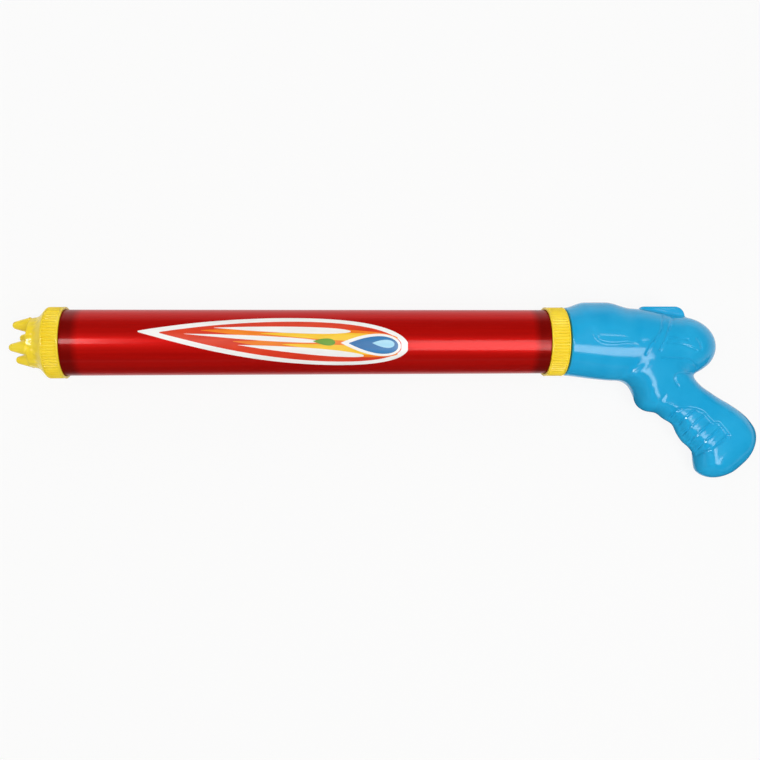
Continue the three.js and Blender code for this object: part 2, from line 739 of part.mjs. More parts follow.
// The sticker: a thin teardrop that follows the tube, blunt towards the handle.
function sticker() {
  const halfStep = STICKER_HALF_HEIGHT / TUBE_RADIUS / STICKER_STEPS;
  const slantStep = STICKER_SLANT / TUBE_RADIUS / STICKER_STATIONS;
  const inner = (TUBE_RADIUS + STICKER_GAP) / Math.cos(halfStep + slantStep);
  const outer = inner + STICKER_THICKNESS;
  const rings = steps(TEARDROP_TIP, TEARDROP_BLUNT, STICKER_STATIONS).map((root) => {
    const share = root * root;
    const x = STICKER_BLUNT_END - STICKER_LENGTH * share;
    const reach = (STICKER_HALF_HEIGHT * TEARDROP_PEAK * root * (1 - share)) / TUBE_RADIUS;
    const middle = STICKER_TURN + (STICKER_DROP - STICKER_SLANT * share) / TUBE_RADIUS;
    const arc = steps(middle - reach, middle + reach, STICKER_STEPS);
    const along = (radius) => (angle) =>
      new THREE.Vector3(x, radius * Math.cos(angle), radius * Math.sin(angle));
    return [...arc.map(along(outer)), ...arc.toReversed().map(along(inner))];
  });
  return loft(rings);
}

// Colours
const RED = 0xb00a00;
const YELLOW = 0xf0d232;
const BLUE = 0x23a5d7;
const WHITE = 0xf2f1ec;
const GREY = 0xb9bcc0;
const BLACK = 0x1c1c1e;

// How rough each finish is
const GLOSS = 0.25;
const SATIN = 0.4;
const MATT = 0.7;

// Finishes
function plastic(color, roughness) {
  return new THREE.MeshStandardMaterial({ color, roughness, metalness: 0 });
}

function steel() {
  return new THREE.MeshStandardMaterial({ color: GREY, roughness: SATIN, metalness: 1 });
}

function rubber() {
  return plastic(BLACK, MATT);
}

// A named piece in a group.
function put(group, name, shape, material) {
  const geometry = shape.isBufferGeometry ? shape : surface(shape);
  const mesh = new THREE.Mesh(geometry, material);
  mesh.name = name;
  group.add(mesh);
  return mesh;
}

// How far the handle turns about the axis before its grip comes down on the floor.
function restRoll(geometry) {
  const points = geometry.getAttribute("position");
  const lowest = (roll) => {
    let low = Infinity;
    for (let i = 0; i < points.count; i += 1) {
      const height = points.getY(i) * Math.sin(roll) + points.getZ(i) * Math.cos(roll);
      low = Math.min(low, height);
    }
    return AXIS_HEIGHT + low;
  };
  let clear = 0;
  let touching = MOST_ROLL;
  while (touching - clear > ROLL_TOLERANCE) {
    const middle = (clear + touching) / 2;
    if (lowest(middle) > 0) clear = middle;
    else touching = middle;
  }
  return clear;
}

// The whole squirter, with its axis at the height at which its rings lie on the floor.
function squirter() {
  const model = new THREE.Group();
  const barrel = new THREE.Group();
  barrel.position.z = AXIS_HEIGHT;
  model.add(barrel);

  const tube = turnedRing(TUBE_FRONT, TUBE_REAR, BORE_RADIUS, TUBE_RADIUS, TUBE_SIDES);
  put(barrel, "barrel_tube", tube, plastic(RED, GLOSS));
  put(barrel, "nozzle_cap", nozzleCap(), plastic(YELLOW, SATIN));
  put(barrel, "nozzle_gasket", nozzleGasket(), rubber());
  put(barrel, "rear_collar", rearCollar(), plastic(YELLOW, SATIN));
  put(barrel, "barrel_sticker", sticker(), plastic(WHITE, GLOSS));

  const piston = new THREE.Group();
  piston.position.x = PISTON_FRONT;
  barrel.add(piston);
  put(piston, "piston_head", pistonHead(), plastic(WHITE, SATIN));
  const [frontRing, rearRing] = oRingStations();
  put(piston, "piston_ring_front", oRing(frontRing), rubber());
  put(piston, "piston_ring_rear", oRing(rearRing), rubber());

  const whole = handleSolid();
  const left = surface(leftShell(whole));
  const right = surface(rightShell(whole));
  const plunger = new THREE.Group();
  plunger.rotation.x = restRoll(right);
  barrel.add(plunger);

  const rodEnd = new THREE.Group();
  rodEnd.position.x = PISTON_FRONT;
  plunger.add(rodEnd);
  put(rodEnd, "rod_plug", rodPlug(), plastic(WHITE, SATIN));
  const washer = turnedRing(
    WASHER_FRONT, WASHER_FRONT + WASHER_THICKNESS,
    PISTON_SCREW_DIAMETER / 2 + SEAT, WASHER_DIAMETER / 2, ROD_SIDES,
  );
  put(rodEnd, "piston_washer", washer, steel());
  const pistonScrew = screw(
    PISTON_SCREW_HEAD, PISTON_SCREW_HEAD_HEIGHT, PISTON_SCREW_DIAMETER, PISTON_SCREW_LENGTH, SCREW_SIDES,
  );
  put(rodEnd, "piston_screw", pistonScrew.translate(WASHER_FRONT - SEAT, 0, 0), steel());
  put(plunger, "plunger_rod", plungerRod(), plastic(WHITE, SATIN));

  const handle = new THREE.Group();
  handle.position.x = HANDLE_FRONT;
  plunger.add(handle);
  put(handle, "handle_shell_left", left, plastic(BLUE, GLOSS));
  put(handle, "handle_shell_right", right, plastic(BLUE, GLOSS));
  const pin = barAcross([PIN_STATION, 0], -PIN_LENGTH / 2, PIN_LENGTH / 2, PIN_DIAMETER / 2, BOSS_SIDES);
  put(handle, "rod_pin", pin, steel());
  screwPlaces().forEach(([x, y], i) => {
    const shape = screw(SCREW_HEAD, SCREW_HEAD_HEIGHT, SCREW_DIAMETER, SCREW_LENGTH, SCREW_SIDES);
    shape.rotateY(-Math.PI / 2).translate(x, y, -SCREW_SEAT - SEAT);
    put(handle, `handle_screw_${i + 1}`, shape, steel());
  });
  return model;
}

export default squirter();
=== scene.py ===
import math

import bmesh
import bpy
import numpy as np
from mathutils import Matrix, Vector


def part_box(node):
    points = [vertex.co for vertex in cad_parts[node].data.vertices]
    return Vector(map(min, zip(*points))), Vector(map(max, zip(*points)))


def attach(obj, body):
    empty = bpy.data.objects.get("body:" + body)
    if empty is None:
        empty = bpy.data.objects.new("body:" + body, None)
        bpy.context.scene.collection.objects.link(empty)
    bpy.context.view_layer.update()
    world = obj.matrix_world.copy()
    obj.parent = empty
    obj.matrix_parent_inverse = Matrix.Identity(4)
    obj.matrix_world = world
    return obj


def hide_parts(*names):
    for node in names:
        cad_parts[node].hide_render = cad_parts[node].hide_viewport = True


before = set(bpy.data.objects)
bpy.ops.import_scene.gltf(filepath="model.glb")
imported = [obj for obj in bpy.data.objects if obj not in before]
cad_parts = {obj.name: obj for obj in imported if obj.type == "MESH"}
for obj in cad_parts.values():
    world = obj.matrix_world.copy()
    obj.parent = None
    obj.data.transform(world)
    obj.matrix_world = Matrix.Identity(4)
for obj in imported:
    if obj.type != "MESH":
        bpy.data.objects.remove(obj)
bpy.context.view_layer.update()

# A pump water squirter that lies on its side. Sizes are in millimetres unless a name says otherwise.
MM = 0.001


def middle(name):
    """The middle of a CAD node's box."""
    low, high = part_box(name)
    return (low + high) / 2 / MM


def span(name):
    """Where a CAD node starts and ends along the barrel."""
    low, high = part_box(name)
    return low.x / MM, high.x / MM


# Places taken from the CAD part
AXIS = middle("barrel_tube").z
TUBE_FRONT, TUBE_REAR = span("barrel_tube")
CAP_RIM = span("nozzle_cap")[1]
COLLAR_FRONT, COLLAR_REAR = span("rear_collar")
ROD_FRONT, ROD_REAR = span("plunger_rod")
HANDLE_FRONT = span("handle_shell_left")[0]
SCREW_NAMES = [f"handle_screw_{i}" for i in range(1, 7)]
screws_apart = middle("handle_screw_1") - middle("handle_screw_2")
# The handle lies rolled about the barrel's axis until its grip is on the floor.
ROLL = math.atan2(screws_apart.z, screws_apart.y)

# The barrel's own frame has its origin on the axis; the handle's own frame starts at its front face.
TO_METRES = Matrix.Scale(MM, 4)
ON_BARREL = Matrix.Translation((0, 0, AXIS * MM)) @ TO_METRES
HANDLE_TURN = Matrix.Rotation(ROLL, 4, "X")
ON_HANDLE = Matrix.Translation((HANDLE_FRONT * MM, 0, AXIS * MM)) @ HANDLE_TURN @ TO_METRES

# Fits, small edges and limits for the mesh
SEAT = 0.3
EDGE = 0.4
EDGE_STEPS = 3
SHARP = math.radians(35)
LONG_RUN = 50
MERGE = 1e-4
SLIVER = 0.005

# Barrel, cap and collar
TUBE_RADIUS = 25.3
TUBE_WALL = 2
TUBE_SIDES = 160
TUBE_SHADE_START = 14
TUBE_SHADE_END = 8
RING_RADIUS = 27.5
RIM_WIDTH = 1.2
RIM_PROUD = 0.15
KNURL_DEPTH = 0.9
KNURL_MARGIN = 0.3
KNURL_RINGS = 6
RIB_STEPS = 8
COLLAR_RIBS = 66
COLLAR_FLANGE = 3
CAP_RIBS = 66
CAP_SKIRT = 12.7
CAP_OVERLAP = 9.6
CAP_SHOULDER = 5
CAP_ROUNDING = 1.2
CAP_ROUND_STEPS = 5
CAP_RIBS_START = 1
CAP_CREST_START = 1.3
CROWN_RADIUS = 21.6
CROWN_FRONT_RADIUS = 18.8
CROWN_LENGTH = 8.2
CROWN_WAIST_DROP = 0.5
CROWN_FLUTES = 24
FLUTE_DEPTH = 0.35
FLUTE_START = 2
FLUTE_MARGIN = 1
CROWN_WALL = 3
GASKET_ROOM = 2.6
JET_COUNT = 4
JET_REACH = 13.1
JET_TIP_RADIUS = 3
JET_SLOPE = math.tan(math.radians(13))
JET_CIRCLE = 13.7
JET_PHASE = math.radians(24)
JET_NOSE_ANGLES = (0.5, 0.9, 1.25)
JET_FLARE = 0.3
JET_FLARE_RUN = 1.2
JET_BORE = 1
# A jet's root stops short of the crown's inner face by its backing, and is narrower there by its tuck.
JET_BACKING = 0.2
JET_TUCK = 1.2
JET_SIDES = 40
JET_BORE_SIDES = 20
ROD_RADIUS = 9
ROD_WALL = 2
ROD_SIDES = 72

# Handle
BODY_RADIUS = 27.1
BODY_LENGTH = 125.2
BODY_REAR_DOME = 31
BODY_STRAIGHT = BODY_LENGTH - BODY_REAR_DOME
BODY_BELLY = 31.6
BODY_BELLY_START = 0.45 * BODY_STRAIGHT
BODY_BELLY_END = 0.62 * BODY_STRAIGHT
BODY_TOP_DROP = 0.6
BODY_WAIST = 25.4
BODY_REAR_TOP = 20.2
BODY_REAR_BOTTOM = 28.8
BODY_REAR_HALF_WIDTH = 22
HOOD_LENGTH = 55
HOOD_RISE = 17
HOOD_FALL = 21
HOOD_HEIGHT = 4.3
HOOD_TOP = math.radians(55)
HOOD_BOTTOM = math.radians(94)
FIN_START = 63
FIN_END = 100
FIN_TOP = 28.3
FIN_THICKNESS = 6
FIN_NOSE_DROP = 1
FIN_NOSE_RUN = 2
FIN_CORNER = 8
FIN_CORNER_STEPS = 8
GRIP_ROOT = Vector((75, -20, 0))
GRIP_SLANT = math.radians(-50)
GRIP_HEEL_DOME = 20.6
# The grip's sides are flat: its ellipse is drawn wider by GRIP_FLARE and pressed flat again at its
# half width, with sharper corners the larger GRIP_PRESS is.
GRIP_FLARE = 1.22
GRIP_PRESS = 14
# Stations down the grip, with its front edge, its back edge and its half width there
GRIP_FORM = [
    (-12, -31.2, 20, 24),
    (-7, -28.1, 20, 23.4),
    (-1, -26.3, 20, 22.5),
    (8, -28.2, 20, 20.6),
    (16, -31, 19.8, 18.7),
    (22, -29.6, 19.3, 17.5),
    (30, -23.3, 18.4, 16.4),
    (38, -21.4, 19.3, 15.4),
    (46, -18.8, 21.5, 15.4),
    (54, -20.8, 24, 15.5),
    (62, -21.6, 27, 15.8),
    (70, -20.4, 29.3, 16.2),
    (76, -21.3, 30.7, 16.6),
    (82, -25.6, 31.4, 17),
    (87, -28.4, 31.2, 17.2),
]
PARTING_GAP = 0.3
HANDLE_SIDES = 96
HANDLE_STEP = 2
DOME_STEPS = 16
VOXEL = 0.52
ROD_SOCKET = 58.3
PIN_STATION = 46
PIN_HOLE = 2.8
PIN_REACH = 17.3
SCREW_SEAT = 8
SCREW_HOLE = 1.8
SCREW_REACH = 11
COUNTERBORE = 3.3
HOLE_SIDES = 32
BEYOND = 60

# The camera that the photograph was taken with, in the handle's frame
PHOTO_FOCUS = 900 / 760
SENSOR_WIDTH = 36
PHOTO_DISTANCE = 709.7
PHOTO_YAW = math.radians(4.66)
PHOTO_TILT = math.radians(0.31)
PHOTO_AIM = Vector((-147.4, -29.9, 0))
PHOTO_BACK = Vector((-math.sin(PHOTO_YAW), 0, math.cos(PHOTO_YAW)))
EYE = PHOTO_AIM + PHOTO_BACK * PHOTO_DISTANCE


# Shaping helpers


def smoothstep(low, high, value):
    """Rises smoothly from 0 to 1 as a value goes from low to high."""
    share = np.clip((np.asarray(value, float) - low) / (high - low), 0, 1)
    return share * share * (3 - 2 * share)


def curve_through(rows):
    """A smooth curve through rows of (station, value, value, ...)."""
    table = np.array(rows, float)
    stations, values = table[:, 0], table[:, 1:]
    slopes = np.gradient(values, stations, axis=0)

    def at(station):
        i = int(np.clip(np.searchsorted(stations, station) - 1, 0, len(stations) - 2))
        width = stations[i + 1] - stations[i]
        t = (station - stations[i]) / width
        near = (1 + 2 * t) * (1 - t) ** 2 * values[i] + t * (1 - t) ** 2 * width * slopes[i]
        far = t * t * (3 - 2 * t) * values[i + 1] + t * t * (t - 1) * width * slopes[i + 1]
        return near + far

    return at


def line_through(*points, count=24):
    """Points along a smooth line through a few points of the side view."""
    along = curve_through([(i, *point) for i, point in enumerate(points)])
    return [along(share) for share in np.linspace(0, len(points) - 1, count)]


def softened(corners, radius=EDGE, count=EDGE_STEPS):
    """A profile with its corners rounded off, apart from those on the axis."""
    points = []
    for i, place in enumerate(corners):
        corner = Vector(place)
        if corner.y == 0:
            points.append(corner)
            continue
        back = Vector(corners[i - 1]) - corner
        ahead = Vector(corners[(i + 1) % len(corners)]) - corner
        reach = min(radius, back.length / 2, ahead.length / 2)
        start = corner + back.normalized() * reach
        end = corner + ahead.normalized() * reach
        for share in np.linspace(0, 1, count + 1):
            points.append(start.lerp(corner, share).lerp(corner.lerp(end, share), share))
    return points


def with_end_rings(profile):
    """Adds a point near each end of a profile's long straight runs, so that the smooth shading of its
    rounded ends doesn't bend the light along the run."""
    points = []
    for i, point in enumerate(profile):
        points.append(point)
        run = profile[(i + 1) % len(profile)] - point
        if run.length > LONG_RUN:
            step = run.normalized() * 2 * EDGE
            points += [point + step, point + run - step]
    return points


def turned(profile, sides):
    """A profile of (x, radius) points spun about the X axis. One that starts off the axis is a ring."""
    bm = bmesh.new()
    verts = [bm.verts.new((x, radius, 0)) for x, radius in profile]
    pairs = list(zip(verts, verts[1:]))
    if profile[0][1] > 0:
        pairs.append((verts[-1], verts[0]))
    edges = [bm.edges.new(pair) for pair in pairs]
    bmesh.ops.spin(
        bm, geom=verts + edges, cent=(0, 0, 0), axis=(1, 0, 0),
        angle=2 * math.pi, steps=sides, use_merge=True,
    )
    bmesh.ops.remove_doubles(bm, verts=bm.verts, dist=MERGE)
    bmesh.ops.recalc_face_normals(bm, faces=bm.faces)
    return bm


def joined(*parts):
    """Several bmeshes as one, which frees them."""
    whole = bmesh.new()
    for part in parts:
        mesh = bpy.data.meshes.new("part")
        part.to_mesh(mesh)
        part.free()
        whole.from_mesh(mesh)
        bpy.data.meshes.remove(mesh)
    return whole


def helper(bm):
    """A bmesh as an object that is used up before the scene is done."""
    mesh = bpy.data.meshes.new("helper")
    bm.to_mesh(mesh)
    bm.free()
    made = bpy.data.objects.new("helper", mesh)
    bpy.context.scene.collection.objects.link(made)
    return made


def used_up(made):
    """Removes a helper object with its mesh."""
    mesh = made.data
    bpy.data.objects.remove(made)
    bpy.data.meshes.remove(mesh)


def modified(bm, kind, **settings):
    """A bmesh after one modifier."""
    made = helper(bm)
    modifier = made.modifiers.new(kind, kind)
    for name, value in settings.items():
        setattr(modifier, name, value)
    bpy.context.view_layer.update()
    finished = made.evaluated_get(bpy.context.evaluated_depsgraph_get())
    mesh = bpy.data.meshes.new_from_object(finished)
    result = bmesh.new()
    result.from_mesh(mesh)
    bpy.data.meshes.remove(mesh)
    used_up(made)
    return result


def combined(bm, tool, operation):
    """A bmesh joined with or cut by another, without the slivers that this leaves along the seam."""
    other = helper(tool)
    result = modified(bm, "BOOLEAN", operation=operation, object=other, solver="EXACT")
    used_up(other)
    bmesh.ops.dissolve_degenerate(result, dist=SLIVER, edges=result.edges)
    between = [vert for vert in result.verts if len(vert.link_edges) == 2]
    bmesh.ops.dissolve_verts(result, verts=between)
    return result


def piece(name, bm, place, body, nodes, materials):
    """A finished piece: put in place, given its materials and tied to its body, with the CAD nodes that it
    stands in for hidden.
    """
    bmesh.ops.transform(bm, matrix=place, verts=bm.verts)
    mesh = bpy.data.meshes.new(name)
    bm.to_mesh(mesh)
    bm.free()
    for material in materials:
        mesh.materials.append(material)
    mesh.shade_smooth()
    mesh.set_sharp_from_angle(angle=SHARP)
    made = bpy.data.objects.new(name, mesh)
    bpy.context.scene.collection.objects.link(made)
    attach(made, body)
    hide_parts(*nodes)
    return made


# Materials


def linear(hex_colour):
    """An sRGB hex colour as the linear colour that the shader takes."""
    parts = [int(hex_colour[i : i + 2], 16) / 255 for i in (1, 3, 5)]
    return [*[c / 12.92 if c <= 0.04045 else ((c + 0.055) / 1.055) ** 2.4 for c in parts], 1]


def node(tree, kind, inputs=None, **settings):
    """Adds a node with its settings, and values or links for its inputs."""
    made = tree.nodes.new(kind)
    for name, value in settings.items():
        setattr(made, name, value)
    for socket, value in (inputs or {}).items():
        if isinstance(value, bpy.types.NodeSocket):
            tree.links.new(value, made.inputs[socket])
        else:
            made.inputs[socket].default_value = value
    return made


def new_material(name, **sockets):
    """A Principled material with its constant values, and the parts that patterns are tied to."""
    made = bpy.data.materials.new(name)
    made.use_nodes = True
    shader = made.node_tree.nodes["Principled BSDF"]
    for socket, value in sockets.items():
        shader.inputs[socket.replace("_", " ")].default_value = value
    return made, made.node_tree, shader


def colour_stops(ramp, *stops):
    """Sets a colour ramp's stops, each a position and a hex colour."""
    for element, (position, colour) in zip(ramp.color_ramp.elements, stops):
        element.position = position
        element.color = linear(colour)


def blue_abs():
    # Injection-moulded ABS from a polished mould: an even, deep gloss whose reflections wander a little
    # where the wall sank as it cooled, and a faint cloudiness from the flow of the pigment.
    made, tree, shader = new_material(
        "injection_moulded_blue_abs", Roughness=0.14, IOR=1.5, Specular_IOR_Level=0.38
    )
    place = node(tree, "ShaderNodeTexCoord").outputs["Object"]
    flow = node(tree, "ShaderNodeTexNoise", {"Vector": place, "Scale": 1 / (22 * MM), "Detail": 2.0})
    tint = node(tree, "ShaderNodeValToRGB", {"Fac": flow.outputs["Fac"]})
    colour_stops(tint, (0.3, "#189fd3"), (0.7, "#27a8da"))
    tree.links.new(tint.outputs["Color"], shader.inputs["Base Color"])
    sink = node(tree, "ShaderNodeTexNoise", {"Vector": place, "Scale": 1 / (9 * MM), "Detail": 1.0})
    ripple = node(
        tree, "ShaderNodeBump", {"Height": sink.outputs["Fac"], "Strength": 0.08, "Distance": 0.4 * MM}
    )
    tree.links.new(ripple.outputs["Normal"], shader.inputs["Normal"])
    return made


def yellow_pp():
    # Injection-moulded polypropylene: a softer, waxier gloss than ABS, a little light carried under the
    # skin, and a fine spark-eroded grain from the mould. The grain is drawn coarser than it is, to show.
    made, tree, shader = new_material(
        "injection_moulded_yellow_polypropylene", Roughness=0.2, IOR=1.49, Specular_IOR_Level=0.2,
        Subsurface_Weight=0.08, Subsurface_Radius=(1.2 * MM, 0.9 * MM, 0.3 * MM), Subsurface_Scale=1.0,
    )
    place = node(tree, "ShaderNodeTexCoord").outputs["Object"]
    cloud = node(tree, "ShaderNodeTexNoise", {"Vector": place, "Scale": 1 / (12 * MM), "Detail": 2.0})
    tint = node(tree, "ShaderNodeValToRGB", {"Fac": cloud.outputs["Fac"]})
    colour_stops(tint, (0.3, "#f1d12c"), (0.7, "#f7dc3e"))
    tree.links.new(tint.outputs["Color"], shader.inputs["Base Color"])
    grain = node(tree, "ShaderNodeTexNoise", {"Vector": place, "Scale": 1 / (0.5 * MM), "Detail": 2.0})
    texture = node(
        tree, "ShaderNodeBump", {"Height": grain.outputs["Fac"], "Strength": 0.04, "Distance": 0.05 * MM}
    )
    tree.links.new(texture.outputs["Normal"], shader.inputs["Normal"])
    return made


def red_tube():
    # Extruded tube, lacquered a metallic red: bright where it faces the light and dark where it turns
    # away, under a clear coat, with faint draw lines along its length. Its base colour turns darker towards
    # both ends, within a few millimetres of the screwed-on rings.
    made, tree, shader = new_material(
        "extruded_tube_metallic_red_lacquer", Metallic=0.42, Roughness=0.36, IOR=1.45,
        Specular_IOR_Level=0.1, Coat_Weight=0.12, Coat_IOR=1.9, Coat_Roughness=0.1,
    )
    place = node(tree, "ShaderNodeTexCoord").outputs["Object"]
    x = node(tree, "ShaderNodeSeparateXYZ", {"Vector": place}).outputs["X"]
    centre = (CAP_RIM + COLLAR_FRONT) / 2 * MM
    reach = (COLLAR_FRONT - CAP_RIM) / 2 * MM
    off_centre = node(tree, "ShaderNodeMath", {0: x, 1: centre}, operation="SUBTRACT").outputs[0]
    distance = node(tree, "ShaderNodeMath", {0: off_centre}, operation="ABSOLUTE").outputs[0]
    to_end = node(
        tree, "ShaderNodeMapRange",
        {
            "Value": distance,
            "From Min": reach - TUBE_SHADE_START * MM,
            "From Max": reach - TUBE_SHADE_END * MM,
        },
    )
    lines = node(tree, "ShaderNodeMapping", {"Vector": place, "Scale": (0.02, 1.0, 1.0)})
    draw = node(
        tree, "ShaderNodeTexNoise",
        {"Vector": lines.outputs["Vector"], "Scale": 1 / (2.5 * MM), "Detail": 3.0},
    )
    shade = node(tree, "ShaderNodeValToRGB", {"Fac": draw.outputs["Fac"]})
    colour_stops(shade, (0.35, "#bc0702"), (0.65, "#c60b04"))
    ends = node(
        tree, "ShaderNodeMix",
        {0: to_end.outputs["Result"], 6: shade.outputs["Color"], 7: linear("#8a0400")}, data_type="RGBA",
    )
    tree.links.new(ends.outputs[2], shader.inputs["Base Color"])
    ripple = node(
        tree, "ShaderNodeBump", {"Height": draw.outputs["Fac"], "Strength": 0.03, "Distance": 0.1 * MM}
    )
    tree.links.new(ripple.outputs["Normal"], shader.inputs["Normal"])
    return made


def white_pp():
    # Extruded and moulded natural polypropylene: milky, a little see-through at its skin, satin.
    made, tree, shader = new_material(
        "extruded_natural_polypropylene", Roughness=0.38, IOR=1.49, Subsurface_Weight=0.15,
        Subsurface_Radius=(1.5 * MM, 1.4 * MM, 1.2 * MM), Subsurface_Scale=1.0,
    )
    place = node(tree, "ShaderNodeTexCoord").outputs["Object"]
    lines = node(tree, "ShaderNodeMapping", {"Vector": place, "Scale": (0.05, 1.0, 1.0)})
    draw = node(
        tree, "ShaderNodeTexNoise",
        {"Vector": lines.outputs["Vector"], "Scale": 1 / (1.5 * MM), "Detail": 3.0},
    )
    shade = node(tree, "ShaderNodeValToRGB", {"Fac": draw.outputs["Fac"]})
    colour_stops(shade, (0.3, "#e9e8e2"), (0.7, "#f4f3ee"))
    tree.links.new(shade.outputs["Color"], shader.inputs["Base Color"])
    ripple = node(
        tree, "ShaderNodeBump", {"Height": draw.outputs["Fac"], "Strength": 0.06, "Distance": 0.1 * MM}
    )
    tree.links.new(ripple.outputs["Normal"], shader.inputs["Normal"])
    return made


def seal_rubber():
    # Moulded nitrile rubber: matt black, with a faint bloom that greys it in patches.
    made, tree, shader = new_material("moulded_nitrile_rubber", Roughness=0.65, IOR=1.52)
    place = node(tree, "ShaderNodeTexCoord").outputs["Object"]
    bloom = node(tree, "ShaderNodeTexNoise", {"Vector": place, "Scale": 1 / (3 * MM), "Detail": 4.0})
    shade = node(tree, "ShaderNodeValToRGB", {"Fac": bloom.outputs["Fac"]})
    colour_stops(shade, (0, "#19191b"), (1, "#2b2b2e"))
    tree.links.new(shade.outputs["Color"], shader.inputs["Base Color"])
    return made


def zinc_steel():
    # Cold-headed steel, zinc plated: bright and cool, with a faint mottle from the passivated skin.
    made, tree, shader = new_material("zinc_plated_steel", Metallic=1.0)
    shader.inputs["Base Color"].default_value = linear("#c3c7ca")
    place = node(tree, "ShaderNodeTexCoord").outputs["Object"]
    mottle = node(tree, "ShaderNodeTexNoise", {"Vector": place, "Scale": 1 / (0.8 * MM), "Detail": 4.0})
    worn = node(tree, "ShaderNodeMapRange", {"Value": mottle.outputs["Fac"], "To Min": 0.24, "To Max": 0.42})
    tree.links.new(worn.outputs["Result"], shader.inputs["Roughness"])
    return made


def film_ink(name, light, deep):
    # Screen-printed ink on a clear-laminated vinyl film: flat colour that shifts a little along the
    # squeegee's stroke, under a glossy laminate.
    made, tree, shader = new_material(name, Roughness=0.28, IOR=1.5, Coat_Weight=0.6, Coat_Roughness=0.08)
    place = node(tree, "ShaderNodeTexCoord").outputs["Object"]
    stroke = node(tree, "ShaderNodeMapping", {"Vector": place, "Scale": (0.2, 1.0, 1.0)})
    ink = node(
        tree, "ShaderNodeTexNoise",
        {"Vector": stroke.outputs["Vector"], "Scale": 1 / (5 * MM), "Detail": 2.0},
    )
    shade = node(tree, "ShaderNodeValToRGB", {"Fac": ink.outputs["Fac"]})
    colour_stops(shade, (0.35, deep), (0.65, light))
    tree.links.new(shade.outputs["Color"], shader.inputs["Base Color"])
    return made


# Barrel


def open_tube(front, rear, radius, wall, sides):
    """A plain tube with softened ends."""
    bore = radius - wall
    profile = softened([(front, bore), (front, radius), (rear, radius), (rear, bore)])
    return turned(with_end_rings(profile), sides)


def ribbed(bm, front, rear, inside, ribs, depth):
    """Presses rounded ribs into a turned ring between two stations, where it is wider than a radius."""
    for vert in bm.verts:
        radius = math.hypot(vert.co.y, vert.co.z)
        if front < vert.co.x < rear and radius > inside:
            angle = math.atan2(vert.co.z, vert.co.y)
            valley = (0.5 - 0.5 * math.cos(ribs * angle)) ** 2
            shrink = 1 - depth * valley / radius
            vert.co.y *= shrink
            vert.co.z *= shrink
    return bm


def rear_collar():
    """The screw collar: a knurl between two plain rims, and a flange that guides the rod."""
    crest = RING_RADIUS - RIM_PROUD
    bore = TUBE_RADIUS + SEAT
    guide = ROD_RADIUS + SEAT
    flange = COLLAR_REAR - COLLAR_FLANGE
    knurl_front = COLLAR_FRONT + RIM_WIDTH
    knurl_rear = COLLAR_REAR - RIM_WIDTH
    lip = [(flange, bore), (COLLAR_FRONT, bore), (COLLAR_FRONT, RING_RADIUS), (knurl_front, RING_RADIUS)]
    stations = np.linspace(knurl_front + KNURL_MARGIN, knurl_rear - KNURL_MARGIN, KNURL_RINGS)
    rim = [(knurl_rear, RING_RADIUS), (COLLAR_REAR, RING_RADIUS), (COLLAR_REAR, guide), (flange, guide)]
    # Each rim drops straight to the knurl's crest, in place of the last points of its rounded corner.
    profile = softened(lip)[:-2] + [Vector((knurl_front, crest))]
    profile += [Vector((x, crest)) for x in stations]
    profile += [Vector((knurl_rear, crest))] + softened(rim)[2:]
    collar = turned(profile, COLLAR_RIBS * RIB_STEPS)
    return ribbed(collar, knurl_front, knurl_rear, crest - RIM_PROUD, COLLAR_RIBS, KNURL_DEPTH)


def jet_cone(front):
    """A stubby jet with a rounded tip and a flared root that sinks into the crown."""
    tip = front - JET_REACH
    root = front + CROWN_WALL - JET_BACKING
    foot = JET_TIP_RADIUS + JET_REACH * JET_SLOPE
    nose = [
        (JET_TIP_RADIUS * (1 - math.cos(angle)) + tip, JET_TIP_RADIUS * math.sin(angle))
        for angle in JET_NOSE_ANGLES
    ]
    flare = [(front - JET_FLARE_RUN, foot - JET_FLARE_RUN * JET_SLOPE), (front, foot + JET_FLARE)]
    return turned([(tip, 0), *nose, *flare, (root, foot - JET_TUCK), (root, 0)], JET_SIDES)


